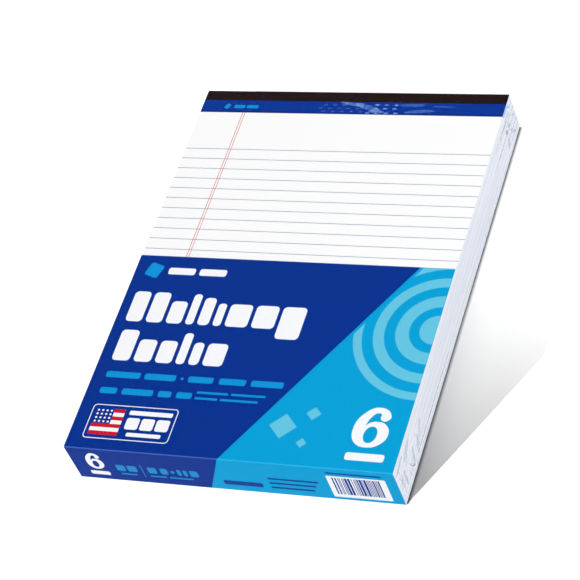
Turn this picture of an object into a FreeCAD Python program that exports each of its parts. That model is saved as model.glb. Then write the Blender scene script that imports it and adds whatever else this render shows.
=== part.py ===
import FreeCAD, Part
import math
import os
import Sketcher

# A pack of legal pads in clear shrink film. Each pad is a block of sheets on a chipboard back, stapled
# through its stub, with a binding tape folded over the head. A printed card is folded over the foot end of
# the stack. Sizes are in millimetres: X runs across the sheets, Y from the foot to the head and Z up. The
# origin is the middle of the underside of the film.

SIZES = (
    # the pads: 8.5 in by 11.75 in, 50 sheets of light writing paper
    ("pad_count", 6),
    ("sheet_width", 215.9),
    ("pad_length", 298.45),
    ("sheet_count", 50),
    ("sheet_caliper", 0.0925),
    ("board_thick", 0.7),
    # the binding tape: how far it reaches over the front sheet and under the board
    ("tape_thick", 0.12),
    ("tape_front", 19.8),
    ("tape_back", 16),
    # the flat-wire staples through the stub
    ("staple_count", 3),
    ("staple_spacing", 72),
    ("staple_from_head", 7.5),
    ("staple_crown", 12.7),
    ("staple_clinch", 4.2),
    ("wire_thick", 0.42),
    ("wire_wide", 0.55),
    ("wire_bend", 0.3),
    ("wire_clearance", 0.05),
    # the card, folded down over the foot end
    ("card_thick", 0.35),
    ("card_panel", 152),
    # the shrink film, drawn tight, with its ramp off the card's edge and the vents in its right side
    ("film_thick", 0.05),
    ("film_slack", 0.1),
    ("film_ramp", 6),
    ("vent_count", 2),
    ("vent_width", 1.6),
    ("vent_spacing", 6),
    ("vent_from_head", 14.6),
    ("vent_height", 18),
)

# Lengths that follow from the sizes
SHEETS = "Sizes.sheet_count * Sizes.sheet_caliper"
PAD = f"({SHEETS} + Sizes.board_thick)"
STACK = f"(Sizes.pad_count * {PAD})"
HEAD = "Sizes.pad_length / 2"
FOOT = f"-{HEAD}"
CARD_EDGE = f"{FOOT} + Sizes.card_panel"
STAPLE_LINE = f"{HEAD} - Sizes.staple_from_head"
FIRST_STAPLE = "-Sizes.staple_spacing * (Sizes.staple_count - 1) / 2"
SAME_PLACE = 0.0001

document = FreeCAD.newDocument("pad_pack")


def fill_sheet():
    """Write each size into the spreadsheet as a number with an alias."""
    sheet = document.addObject("Spreadsheet::Sheet", "Sizes")
    for row, (alias, value) in enumerate(SIZES, 1):
        sheet.set(f"A{row}", alias)
        sheet.set(f"B{row}", str(value))
        sheet.setAlias(f"B{row}", alias)
    document.recompute()


def new_body(label, height):
    """A body with its middle over the origin's line, at a height above the floor."""
    body = document.addObject("PartDesign::Body", label)
    body.Label = label
    body.setExpression("Placement.Base.y", "Sizes.card_thick / 2")
    body.setExpression("Placement.Base.z", height)
    return body


def own(body, role):
    """One of the body's own origin planes or axes."""
    return next(item for item in body.Origin.OriginFeatures if item.Role == role)


def new_sketch(body, name, role, moved=None):
    """A sketch on one of the body's own planes, moved in the plane and off it by expressions."""
    sketch = body.newObject("Sketcher::SketchObject", name)
    sketch.AttachmentSupport = [(own(body, role), "")]
    sketch.MapMode = "FlatFace"
    for direction, expression in (moved or {}).items():
        sketch.setExpression(f"AttachmentOffset.Base.{direction}", expression)
    return sketch


def outline(body, name, role, corners, moved=None):
    """A closed outline of straight lines, with an expression for each of a corner's two distances."""
    sketch = new_sketch(body, name, role, moved)
    count = len(corners)
    turns = [2 * math.pi * index / count for index in range(count)]
    start = [FreeCAD.Vector(math.cos(turn), math.sin(turn), 0) for turn in turns]
    for index in range(count):
        sketch.addGeometry(Part.LineSegment(start[index], start[(index + 1) % count]))
    for index, (across, up) in enumerate(corners):
        before = (index - 1) % count
        sketch.addConstraint(Sketcher.Constraint("Coincident", before, 2, index, 1))
        for kind, value, expression in (("X", start[index].x, across), ("Y", start[index].y, up)):
            distance = Sketcher.Constraint(f"Distance{kind}", -1, 1, index, 1, value)
            number = sketch.addConstraint(distance)
            sketch.setExpression(f"Constraints[{number}]", expression)
    return sketch


def both_ways(body, kind, name, sketch, length):
    """A pad or a pocket that reaches half its length to each side of the sketch."""
    feature = body.newObject(f"PartDesign::{kind}", name)
    feature.Profile = sketch
    feature.SideType = "Symmetric"
    feature.setExpression("Length", length)
    body.Tip = feature
    document.recompute()
    return feature


def rounded(body, name, wanted, radius):
    """The body with those of its edges rounded that the test picks out."""
    base = body.Tip
    box = base.Shape.BoundBox
    edges = [f"Edge{number}" for number, edge in enumerate(base.Shape.Edges, 1) if wanted(edge, box)]
    feature = body.newObject("PartDesign::Fillet", name)
    feature.Base = (base, edges)
    feature.setExpression("Radius", radius)
    body.Tip = feature
    document.recompute()
    return feature


def in_a_row(body, name, role, spacing, count, features=()):
    """Copies of some features, or of the whole body, in a row along an axis."""
    row = body.newObject("PartDesign::LinearPattern", name)
    if features:
        row.Originals = list(features)
    else:
        row.TransformMode = "Whole shape"
    row.Direction = (own(body, role), [""])
    row.Mode = "Spacing"
    row.setExpression("Offset", spacing)
    row.setExpression("Occurrences", count)
    body.Tip = row
    document.recompute()
    return row


def near(one, other):
    """True for two lengths that are the same."""
    return abs(one - other) < SAME_PLACE


def staple_place():
    """Moves a sketch on the XZ plane to the first staple of the row."""
    return {"x": FIRST_STAPLE, "z": f"-({STAPLE_LINE})"}


def cut_for_staples(body, corners):
    """A slot for each staple in the row."""
    sketch = outline(body, f"{body.Label}_slot", "XZ_Plane", corners, staple_place())
    width = "Sizes.wire_wide + 2 * Sizes.wire_clearance"
    slot = both_ways(body, "Pocket", f"{body.Label}_slots", sketch, width)
    in_a_row(body, f"{body.Label}_slot_row", "X_Axis", "Sizes.staple_spacing", "Sizes.staple_count", [slot])


# How far a leg's slot reaches from the staple's middle. On the inside the wire's bend crushes the paper.
SLOT_OUT = "(Sizes.staple_crown / 2 + Sizes.wire_clearance)"
SLOT_IN = "(Sizes.staple_crown / 2 - Sizes.wire_thick - Sizes.wire_bend)"


def sheets(label, height):
    """The block of sheets. Its head edge is stepped back so that the tape lies flush with the front sheet."""
    body = new_body(label, height)
    top = PAD
    under_tape = f"{PAD} - Sizes.tape_thick"
    section = outline(body, f"{label}_section", "YZ_Plane", (
        (FOOT, "Sizes.board_thick"),
        (f"{HEAD} - Sizes.tape_thick", "Sizes.board_thick"),
        (f"{HEAD} - Sizes.tape_thick", under_tape),
        (f"{HEAD} - Sizes.tape_front", under_tape),
        (f"{HEAD} - Sizes.tape_front", top),
        (FOOT, top),
    ))
    both_ways(body, "Pad", f"{label}_block", section, "Sizes.sheet_width")
    crown_seat = f"{under_tape} - Sizes.wire_thick"
    cut_for_staples(body, (
        (f"-{SLOT_OUT}", "0"),
        (f"-{SLOT_IN}", "0"),
        (f"-{SLOT_IN}", crown_seat),
        (SLOT_IN, crown_seat),
        (SLOT_IN, "0"),
        (SLOT_OUT, "0"),
        (SLOT_OUT, top),
        (f"-{SLOT_OUT}", top),
    ))
    return body


def backing(label, height):
    """The chipboard back, with the tape let into its underside at the head."""
    body = new_body(label, height)
    section = outline(body, f"{label}_section", "YZ_Plane", (
        (FOOT, "0"),
        (f"{HEAD} - Sizes.tape_back", "0"),
        (f"{HEAD} - Sizes.tape_back", "Sizes.tape_thick"),
        (f"{HEAD} - Sizes.tape_thick", "Sizes.tape_thick"),
        (f"{HEAD} - Sizes.tape_thick", "Sizes.board_thick"),
        (FOOT, "Sizes.board_thick"),
    ))
    both_ways(body, "Pad", f"{label}_board", section, "Sizes.sheet_width")
    clinch_seat = "Sizes.tape_thick + Sizes.wire_thick"
    cut_for_staples(body, (
        (f"-{SLOT_OUT}", "0"),
        (SLOT_OUT, "0"),
        (SLOT_OUT, "Sizes.board_thick"),
        (SLOT_IN, "Sizes.board_thick"),
        (SLOT_IN, clinch_seat),
        (f"-{SLOT_IN}", clinch_seat),
        (f"-{SLOT_IN}", "Sizes.board_thick"),
        (f"-{SLOT_OUT}", "Sizes.board_thick"),
    ))
    return body


def binding_tape(label, height):
    """The tape, folded from the front sheet over the head edge to the back of the board."""
    body = new_body(label, height)
    section = outline(body, f"{label}_section", "YZ_Plane", (
        (f"{HEAD} - Sizes.tape_back", "0"),
        (HEAD, "0"),
        (HEAD, PAD),
        (f"{HEAD} - Sizes.tape_front", PAD),
        (f"{HEAD} - Sizes.tape_front", f"{PAD} - Sizes.tape_thick"),
        (f"{HEAD} - Sizes.tape_thick", f"{PAD} - Sizes.tape_thick"),
        (f"{HEAD} - Sizes.tape_thick", "Sizes.tape_thick"),
        (f"{HEAD} - Sizes.tape_back", "Sizes.tape_thick"),
    ))
    both_ways(body, "Pad", f"{label}_strip", section, "Sizes.sheet_width")

    def outer_fold(edge, box):
        middle = edge.CenterOfMass
        at_an_end = near(middle.z, box.ZMin) or near(middle.z, box.ZMax)
        return near(middle.y, box.YMax) and at_an_end and near(edge.Length, box.XLength)

    rounded(body, f"{label}_folds", outer_fold, "Sizes.tape_thick")
    return body


def staples(label, height):
    """Flat-wire staples: crown on the front sheet, legs through the stub, clinch under the board."""
    body = new_body(label, height)
    side = "Sizes.staple_crown / 2"
    inner = f"({side} - Sizes.wire_thick)"
    tip = f"({side} - Sizes.staple_clinch)"
    low = "Sizes.tape_thick"
    high = f"{PAD} - Sizes.tape_thick"
    low_inside = f"{low} + Sizes.wire_thick"
    high_inside = f"{high} - Sizes.wire_thick"
    wire = outline(body, f"{label}_outline", "XZ_Plane", (
        (tip, low),
        (side, low),
        (side, high),
        (f"-{side}", high),
        (f"-{side}", low),
        (f"-{tip}", low),
        (f"-{tip}", low_inside),
        (f"-{inner}", low_inside),
        (f"-{inner}", high_inside),
        (inner, high_inside),
        (inner, low_inside),
        (tip, low_inside),
    ), staple_place())
    both_ways(body, "Pad", f"{label}_wire", wire, "Sizes.wire_wide")
    thick = document.Sizes.wire_thick

    def bend(edge, box, inset):
        middle = edge.CenterOfMass
        side_edge = near(middle.x, box.XMin + inset) or near(middle.x, box.XMax - inset)
        end_edge = near(middle.z, box.ZMin + inset) or near(middle.z, box.ZMax - inset)
        return side_edge and end_edge and near(edge.Length, box.YLength)

    def outer_bend(edge, box):
        return bend(edge, box, 0)

    def inner_bend(edge, box):
        return bend(edge, box, thick)

    rounded(body, f"{label}_outer_bends", outer_bend, "Sizes.wire_bend + Sizes.wire_thick")
    rounded(body, f"{label}_inner_bends", inner_bend, "Sizes.wire_bend")
    in_a_row(body, f"{label}_row", "X_Axis", "Sizes.staple_spacing", "Sizes.staple_count")
    return body


def printed_card(label, height):
    """The card: a panel on the top pad, folded once down the foot end of the whole stack."""
    body = new_body(label, height)
    section = outline(body, f"{label}_section", "YZ_Plane", (
        (f"{FOOT} - Sizes.card_thick", "0"),
        (FOOT, "0"),
        (FOOT, STACK),
        (CARD_EDGE, STACK),
        (CARD_EDGE, f"{STACK} + Sizes.card_thick"),
        (f"{FOOT} - Sizes.card_thick", f"{STACK} + Sizes.card_thick"),
    ))
    both_ways(body, "Pad", f"{label}_panels", section, "Sizes.sheet_width")

    def scored_fold(edge, box):
        middle = edge.CenterOfMass
        return near(middle.y, box.YMin) and near(middle.z, box.ZMax) and near(edge.Length, box.XLength)

    rounded(body, f"{label}_fold", scored_fold, "Sizes.card_thick")
    return body


def film_section(body, name, wall):
    """The film's side view, grown all round by a wall, with a ramp from the card down to the top pad."""
    gap = f"Sizes.film_slack + {wall}"
    foot = f"{FOOT} - Sizes.card_thick - ({gap})"
    head = f"{HEAD} + {gap}"
    over_pads = f"{STACK} + {gap}"
    over_card = f"{STACK} + Sizes.card_thick + {gap}"
    ramp_top = f"{CARD_EDGE} + Sizes.film_slack"
    return outline(body, name, "YZ_Plane", (
        (foot, f"-{wall}"),
        (head, f"-{wall}"),
        (head, over_pads),
        (f"{ramp_top} + Sizes.film_ramp", over_pads),
        (ramp_top, over_card),
        (foot, over_card),
    ))


def shrink_film(label, height):
    """The film: a closed envelope, drawn tight over the stack and the card, with vents in its right side."""
    body = new_body(label, height)
    width = "Sizes.sheet_width + 2 * Sizes.film_slack"
    outside = film_section(body, f"{label}_outside", "Sizes.film_thick")
    both_ways(body, "Pad", f"{label}_envelope", outside, f"{width} + 2 * Sizes.film_thick")
    inside = film_section(body, f"{label}_inside", "0")
    both_ways(body, "Pocket", f"{label}_contents", inside, width)

    right_side = "Sizes.sheet_width / 2 + Sizes.film_slack + Sizes.film_thick"
    moved = {"x": f"{HEAD} - Sizes.vent_from_head", "y": "Sizes.vent_height", "z": right_side}
    sketch = new_sketch(body, f"{label}_vent_circle", "YZ_Plane", moved)
    sketch.addGeometry(Part.Circle(FreeCAD.Vector(), FreeCAD.Vector(0, 0, 1), 1))
    sketch.addConstraint(Sketcher.Constraint("Coincident", 0, 3, -1, 1))
    number = sketch.addConstraint(Sketcher.Constraint("Diameter", 0, 2))
    sketch.setExpression(f"Constraints[{number}]", "Sizes.vent_width")
    vent = body.newObject("PartDesign::Pocket", f"{label}_vent")
    vent.Profile = sketch
    vent.setExpression("Length", "Sizes.film_thick + Sizes.film_slack / 2")
    body.Tip = vent
    document.recompute()
    row = in_a_row(body, f"{label}_vents", "Y_Axis", "Sizes.vent_spacing", "Sizes.vent_count", [vent])
    row.Reversed = True
    document.recompute()
    return body


def build():
    """Every piece of the pack, in a list."""
    fill_sheet()
    floor = "Sizes.film_thick"
    pieces = []
    for number in range(1, document.Sizes.pad_count + 1):
        height = f"{floor} + {number - 1} * {PAD}"
        pieces.append(sheets(f"pad_{number}_sheets", height))
        pieces.append(backing(f"pad_{number}_backing", height))
        pieces.append(binding_tape(f"pad_{number}_tape", height))
        pieces.append(staples(f"pad_{number}_staples", height))
    pieces.append(printed_card("printed_card", floor))
    pieces.append(shrink_film("shrink_film", floor))
    document.recompute()
    return pieces


def check(pieces):
    """Stop if anything in the document failed, or if a piece is empty or not valid."""
    for item in document.Objects:
        if "Invalid" in item.State or "Error" in item.State:
            raise RuntimeError(f"{item.Label} failed: {item.State}")
    for piece in pieces:
        if piece.Shape.isNull() or not piece.Shape.isValid():
            raise RuntimeError(f"{piece.Label} has no valid shape")


def write(pieces):
    """Write one STEP file for each piece."""
    os.makedirs("parts", exist_ok=True)
    for piece in pieces:
        piece.Shape.exportStep(f"parts/{piece.Label}.step")
        print(f"{piece.Label}: {len(piece.Shape.Solids)} solid, {piece.Shape.Volume:.3f} cubic mm")


made = build()
check(made)
write(made)
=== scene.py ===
import bpy
import math
import random
from mathutils import Matrix, Vector


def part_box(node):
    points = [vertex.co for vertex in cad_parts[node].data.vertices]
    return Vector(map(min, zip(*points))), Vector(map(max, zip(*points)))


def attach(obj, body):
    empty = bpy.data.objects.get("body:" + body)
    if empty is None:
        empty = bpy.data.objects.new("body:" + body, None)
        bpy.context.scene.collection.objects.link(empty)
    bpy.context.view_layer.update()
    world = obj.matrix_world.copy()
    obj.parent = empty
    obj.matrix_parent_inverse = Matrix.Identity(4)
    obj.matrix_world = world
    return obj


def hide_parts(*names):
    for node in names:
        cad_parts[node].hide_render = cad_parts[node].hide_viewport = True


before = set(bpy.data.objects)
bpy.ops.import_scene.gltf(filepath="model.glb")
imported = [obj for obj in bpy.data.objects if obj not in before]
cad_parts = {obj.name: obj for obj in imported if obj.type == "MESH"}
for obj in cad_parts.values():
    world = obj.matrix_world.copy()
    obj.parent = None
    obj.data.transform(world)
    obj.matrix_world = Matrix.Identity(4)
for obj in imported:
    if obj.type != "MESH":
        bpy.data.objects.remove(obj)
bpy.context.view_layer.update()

# The pack's own lines, in metres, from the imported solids: X across the sheets, Y to the head, Z up
MM = 0.001
TOP_PAD = 6
SHEET_LOW, SHEET_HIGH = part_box(f"pad_{TOP_PAD}_sheets")
TAPE_LOW, TAPE_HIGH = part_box(f"pad_{TOP_PAD}_tape")
CARD_LOW, CARD_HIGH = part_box("printed_card")
FILM_LOW, FILM_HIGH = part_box("shrink_film")
LEFT = SHEET_LOW.x
RIGHT = SHEET_HIGH.x
HEAD = TAPE_HIGH.y
SHEET_TOP = SHEET_HIGH.z
CARD_TOP = CARD_HIGH.z
CARD_FRONT = CARD_LOW.y
CARD_EDGE = CARD_HIGH.y
WIDTH = RIGHT - LEFT

# A place that differs by less than this is the same place
TINY = 0.01 * MM

# The tape's black band and the rulings, measured from the head and from the left edge
BLACK_BAND = 8.7 * MM
FIRST_RULE = 52.9 * MM
RULE_PITCH = 8.73 * MM
RULE_WIDE = 0.5 * MM
MARGINS = (32.0 * MM, 33.7 * MM)
MARGIN_WIDE = 0.45 * MM

# How thick the ink lies. It is thinner on paper and on tape, and where it lies on other ink.
INK = 0.03 * MM
SECOND_INK = 0.015 * MM
BAND_INK = 0.015 * MM
MARGIN_INK = 0.012 * MM
RULE_INK = 0.01 * MM

# The tape carries painted shade at its front edge, darkest there, and has its own colour from a little behind
# it
TAPE_EDGE_SHADE_FULL = 0.6 * MM
TAPE_EDGE_CLEAR = 2.2 * MM
# Faces this near the tape's top belong to its front flap
TAPE_FLAP = 0.5 * MM

# The card's two colours meet on a diagonal, which goes on down the foot end at a steeper slant. These places
# are measured from the left edge.
SPLIT_AT_EDGE = 193.2 * MM
SPLIT_AT_FOLD = 103.8 * MM
SPLIT_AT_BASE = 89.7 * MM
# How far the card's ink is paler on each side of the fold
FOLD_PALE_REACH = 0.5 * MM

# Colours, as red, green and blue from 0 to 255
WHITE_INK = (246, 247, 250)
NAVY = (0, 48, 141)
# Paler inks for the card along its fold
NAVY_AT_FOLD = (66, 96, 176)
CYAN = (0, 159, 215)
CYAN_AT_FOLD = (40, 174, 226)
PALE_CYAN = (100, 196, 225)
LIGHT_BLUE = (10, 146, 214)
STRIPE_RED = (206, 22, 48)
FOOT_BLUE = (30, 140, 205)
FOOT_NAVY = (10, 58, 146)
TAPE_BLACK = (26, 9, 8)
TAPE_BLUE = (0, 53, 153)
RULE_BLUE = (138, 154, 174)
MARGIN_RED = (214, 98, 100)
PAPER_TOP = (249, 249, 250)
PAPER_EDGE = (236, 240, 248)
PAPER_EDGE_DARK = (222, 229, 241)
BOARD = (224, 227, 236)
BOARD_FLECK = (210, 213, 223)
WIRE = (200, 200, 204)
WIRE_DARK = (168, 168, 172)
FILM_FLAT = (24, 28, 44)
# Painted light and shade of the film: highlights and shade of its creases, reflections over the blue band, and
# shade round the vent holes
FILM_HIGHLIGHT = (238, 243, 255)
FILM_SHADE = (180, 187, 208)
FILM_NIP_SHADE = (108, 114, 138)
FILM_GLINT = (168, 200, 250)
FILM_HIGHLIGHT_ON_BLUE = (92, 136, 216)
FILM_STREAK_HIGHLIGHT = (140, 178, 232)
FILM_VENT_SHADE = (140, 160, 178)
FILM_VENT_SHADE_DARK = (84, 108, 132)


def linear(colour):
    """The colour as Blender's shaders take it."""
    parts = [value / 255 for value in colour]
    levels = [part / 12.92 if part <= 0.04045 else ((part + 0.055) / 1.055) ** 2.4 for part in parts]
    return (*levels, 1)


def deselect():
    bpy.ops.object.select_all(action="DESELECT")


def only(piece):
    """Selects one object and makes it the active one."""
    deselect()
    piece.select_set(True)
    bpy.context.view_layer.objects.active = piece
    return piece


# Materials

def new_material(name, roughness, specular):
    """A material with a principled shader of a given roughness and gloss."""
    material = bpy.data.materials.new(name)
    material.use_nodes = True
    shader = material.node_tree.nodes["Principled BSDF"]
    shader.inputs["Roughness"].default_value = roughness
    shader.inputs["Specular IOR Level"].default_value = specular
    return material, material.node_tree.nodes, material.node_tree.links, shader


def noise_along(nodes, links, stretch, detail):
    """A noise in the object's own coordinates, stretched by a scale for each axis."""
    place = nodes.new("ShaderNodeTexCoord")
    mapping = nodes.new("ShaderNodeMapping")
    mapping.inputs["Scale"].default_value = stretch
    noise = nodes.new("ShaderNodeTexNoise")
    noise.inputs["Scale"].default_value = 1
    noise.inputs["Detail"].default_value = detail
    links.new(place.outputs["Object"], mapping.inputs["Vector"])
    links.new(mapping.outputs["Vector"], noise.inputs["Vector"])
    return noise.outputs["Fac"]


def blend_colours(nodes, links, factor, low, high, first, second):
    """A ramp from one colour to another over a part of the factor's range."""
    ramp = nodes.new("ShaderNodeValToRGB")
    ramp.color_ramp.elements[0].position = low
    ramp.color_ramp.elements[1].position = high
    ramp.color_ramp.elements[0].color = linear(first)
    ramp.color_ramp.elements[1].color = linear(second)
    links.new(factor, ramp.inputs["Fac"])
    return ramp.outputs["Color"]


def add_bump(nodes, links, shader, height, strength, distance):
    """Fine relief that follows a pattern."""
    bump = nodes.new("ShaderNodeBump")
    bump.inputs["Strength"].default_value = strength
    bump.inputs["Distance"].default_value = distance
    links.new(height, bump.inputs["Height"])
    links.new(bump.outputs["Normal"], shader.inputs["Normal"])


def step_between(nodes, links, value, first, last, start, end):
    """A value that goes from start to end while another goes from first to last."""
    step = nodes.new("ShaderNodeMapRange")
    step.inputs["From Min"].default_value = first
    step.inputs["From Max"].default_value = last
    step.inputs["To Min"].default_value = start
    step.inputs["To Max"].default_value = end
    links.new(value, step.inputs["Value"])
    return step.outputs["Result"]


def combined(nodes, links, operation, *values):
    """Several values made one: MULTIPLY gives their product and MAXIMUM the largest of them."""
    result = values[0]
    for value in values[1:]:
        step = nodes.new("ShaderNodeMath")
        step.operation = operation
        links.new(result, step.inputs[0])
        links.new(value, step.inputs[1])
        result = step.outputs[0]
    return result


def mixed(nodes, links, factor, first, second):
    """A blend of two greys or colours, each given as a value or as another node's output."""
    mix = nodes.new("ShaderNodeMix")
    mix.data_type = "RGBA"
    links.new(factor, mix.inputs["Factor"])
    for name, colour in (("A", first), ("B", second)):
        if isinstance(colour, tuple):
            mix.inputs[name].default_value = colour
        else:
            links.new(colour, mix.inputs[name])
    return mix.outputs["Result"]


def shaded(colour, share):
    """The colour made darker by a share."""
    return tuple(value * (1 - share) for value in colour)


def print_ink(name, colour, roughness=0.42, specular=0.04):
    """Offset ink on coated card, with a faint mottle."""
    material, nodes, links, shader = new_material(name, roughness, specular)
    mottle = noise_along(nodes, links, (900, 900, 900), detail=3)
    mottled = blend_colours(nodes, links, mottle, 0.3, 0.7, shaded(colour, 0.03), colour)
    links.new(mottled, shader.inputs["Base Color"])
    add_bump(nodes, links, shader, mottle, strength=0.06, distance=0.1 * MM)
    return material


def paper_material():
    """Writing paper: smooth and white on the face, with the streaks of cut sheets along the edges."""
    material, nodes, links, shader = new_material("writing_paper", roughness=0.8, specular=0.1)
    tooth = noise_along(nodes, links, (1500, 1500, 1500), detail=4)
    face = blend_colours(nodes, links, tooth, 0.35, 0.65, shaded(PAPER_TOP, 0.012), PAPER_TOP)
    streaks = noise_along(nodes, links, (14, 14, 1500), detail=5)
    edge = blend_colours(nodes, links, streaks, 0.36, 0.62, PAPER_EDGE_DARK, PAPER_EDGE)
    facing = nodes.new("ShaderNodeNewGeometry")
    split = nodes.new("ShaderNodeSeparateXYZ")
    upward = nodes.new("ShaderNodeMath")
    upward.operation = "GREATER_THAN"
    upward.inputs[1].default_value = 0.5
    links.new(facing.outputs["Normal"], split.inputs["Vector"])
    links.new(split.outputs["Z"], upward.inputs[0])
    links.new(mixed(nodes, links, upward.outputs[0], edge, face), shader.inputs["Base Color"])
    add_bump(nodes, links, shader, streaks, strength=0.12, distance=0.3 * MM)
    return material


def board_material():
    """Pale chipboard with short fibres and flecks."""
    material, nodes, links, shader = new_material("chipboard", roughness=0.85, specular=0.1)
    fibres = noise_along(nodes, links, (700, 260, 2500), detail=6)
    links.new(blend_colours(nodes, links, fibres, 0.4, 0.6, BOARD_FLECK, BOARD), shader.inputs["Base Color"])
    add_bump(nodes, links, shader, fibres, strength=0.3, distance=0.2 * MM)
    return material


def tape_material(name, colour):
    """Binding tape: a fine crepe with a dull sheen, and painted shade that darkens it towards its front edge.
    """
    material, nodes, links, shader = new_material(name, roughness=0.5, specular=0.05)
    crepe = noise_along(nodes, links, (1800, 420, 1800), detail=4)
    mottled = blend_colours(nodes, links, crepe, 0.3, 0.7, shaded(colour, 0.1), colour)
    place = nodes.new("ShaderNodeTexCoord")
    split = nodes.new("ShaderNodeSeparateXYZ")
    links.new(place.outputs["Object"], split.inputs["Vector"])
    shade_end = TAPE_LOW.y + TAPE_EDGE_SHADE_FULL
    clear_start = TAPE_LOW.y + TAPE_EDGE_CLEAR
    from_edge = step_between(nodes, links, split.outputs["Y"], shade_end, clear_start, 0, 1)
    # Painted shade: the tape's colour darkened by a share at its front edge
    edge_shaded = mixed(nodes, links, from_edge, linear(shaded(colour, 0.22)), mottled)
    links.new(edge_shaded, shader.inputs["Base Color"])
    add_bump(nodes, links, shader, crepe, strength=0.2, distance=0.2 * MM)
    return material


def wire_material():
    """Galvanised stapling wire."""
    material, nodes, links, shader = new_material("staple_wire", roughness=0.35, specular=0.5)
    shader.inputs["Metallic"].default_value = 1
    drawn = noise_along(nodes, links, (200, 3000, 3000), detail=2)
    links.new(blend_colours(nodes, links, drawn, 0.3, 0.7, WIRE_DARK, WIRE), shader.inputs["Base Color"])
    return material


def film_material():
    """Clear shrink film, with the faint waves of its shrinking."""
    material, nodes, links, shader = new_material("shrink_film_clear", roughness=0.12, specular=0.5)
    shader.inputs["Alpha"].default_value = FILM_ALPHA
    waves = noise_along(nodes, links, (90, 26, 160), detail=2)
    waved = blend_colours(nodes, links, waves, 0.3, 0.7, shaded(FILM_FLAT, 0.2), FILM_FLAT)
    links.new(waved, shader.inputs["Base Color"])
    add_bump(nodes, links, shader, waves, strength=0.2, distance=0.5 * MM)
    return material


def pucker_material(name, first, second, thin, thick):
    """Gathered film whose colours paint a crease's highlights and shade: uneven along each crease, and clear at
    its rim, where it turns down to the panel.
    """
    material, nodes, links, shader = new_material(name, roughness=0.3, specular=0.3)
    gather = noise_along(nodes, links, (420, 160, 700), detail=3)
    links.new(blend_colours(nodes, links, gather, 0.38, 0.62, first, second), shader.inputs["Base Color"])
    facing = nodes.new("ShaderNodeNewGeometry")
    outward = nodes.new("ShaderNodeVectorMath")
    outward.operation = "ABSOLUTE"
    split = nodes.new("ShaderNodeSeparateXYZ")
    links.new(facing.outputs["Normal"], outward.inputs[0])
    links.new(outward.outputs["Vector"], split.inputs["Vector"])
    flattest = combined(nodes, links, "MAXIMUM", split.outputs["X"], split.outputs["Y"], split.outputs["Z"])
    inside = step_between(nodes, links, flattest, RIM_CLEAR, RIM_SHOWN, 0, 1)
    uneven = step_between(nodes, links, gather, 0.3, 0.7, thin, thick)
    links.new(combined(nodes, links, "MULTIPLY", inside, uneven), shader.inputs["Alpha"])
    return material


# Flat shapes for the print. Each lies on the XY plane, measured in millimetres from a panel's left edge and
# down from its upper edge.

def bar(left, right, near, far, rounding=0.0):
    """A bar with rounded corners."""
    bpy.ops.mesh.primitive_plane_add(size=1)
    shape = bpy.context.object
    shape.scale = ((right - left) * MM, (far - near) * MM, 1)
    shape.location = ((left + right) / 2 * MM, -(near + far) / 2 * MM, 0)
    only(shape)
    bpy.ops.object.transform_apply(location=True, rotation=True, scale=True)
    if rounding:
        bpy.ops.object.mode_set(mode="EDIT")
        bpy.ops.mesh.select_all(action="SELECT")
        bpy.ops.mesh.bevel(affect="VERTICES", offset=rounding * MM, segments=5)
        bpy.ops.object.mode_set(mode="OBJECT")
    return shape


def disc(across, down, radius, sides=48):
    """A filled disc, or a diamond with four sides."""
    place = (across * MM, -down * MM, 0)
    bpy.ops.mesh.primitive_circle_add(vertices=sides, radius=radius * MM, fill_type="NGON", location=place)
    shape = only(bpy.context.object)
    bpy.ops.object.transform_apply(location=True, rotation=True, scale=True)
    return shape


def hollow(shape, thick):
    """Leaves only a band of a shape, along its outline."""
    only(shape)
    bpy.ops.object.mode_set(mode="EDIT")
    bpy.ops.mesh.select_all(action="SELECT")
    bpy.ops.mesh.inset(thickness=thick * MM)
    bpy.ops.mesh.delete(type="FACE")
    bpy.ops.object.mode_set(mode="OBJECT")
    return shape


# The figure six in a box one wide and one high: a bowl, a stem that curls over, a round end and an eye. One
# point of its outline is a sharp corner, where the bowl meets the stem.
SIX_OUTLINE = (
    (0.94, 0.80), (0.60, 1.00), (0.18, 0.82), (0.0, 0.41), (0.13, 0.11), (0.48, 0.0),
    (0.86, 0.11), (1.0, 0.35), (0.87, 0.58), (0.60, 0.645), (0.42, 0.61), (0.31, 0.52),
    (0.39, 0.72), (0.57, 0.86), (0.67, 0.82), (0.66, 0.75), (0.74, 0.67), (0.88, 0.69),
)
SIX_SHARP = 11
SIX_EYE = ((0.70, 0.33), (0.53, 0.52), (0.33, 0.31), (0.50, 0.11))


def figure_six(left, right, near, far):
    """A bold figure six that fills a box."""
    curve = bpy.data.curves.new("figure_six", "CURVE")
    curve.dimensions = "2D"
    curve.fill_mode = "BOTH"
    curve.resolution_u = 8
    for outline in (SIX_OUTLINE, SIX_EYE):
        spline = curve.splines.new("BEZIER")
        spline.bezier_points.add(len(outline) - 1)
        spline.use_cyclic_u = True
        for number, (across, up) in enumerate(outline):
            point = spline.bezier_points[number]
            point.co = (left + (right - left) * across, -far + (far - near) * up, 0)
            kind = "VECTOR" if outline is SIX_OUTLINE and number == SIX_SHARP else "AUTO"
            point.handle_left_type = kind
            point.handle_right_type = kind
    shape = bpy.data.objects.new("figure_six", curve)
    bpy.context.scene.collection.objects.link(shape)
    only(shape)
    bpy.ops.object.convert(target="MESH")
    shape = bpy.context.object
    shape.data.transform(Matrix.Scale(MM, 4))
    return shape


def turned(shape, degrees):
    """Turns a flat shape about its own middle."""
    corners = [vertex.co for vertex in shape.data.vertices]
    middle = sum(corners, Vector()) / len(corners)
    turn = Matrix.Rotation(math.radians(degrees), 4, "Z")
    shape.data.transform(Matrix.Translation(middle) @ turn @ Matrix.Translation(-middle))
    return shape


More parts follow.
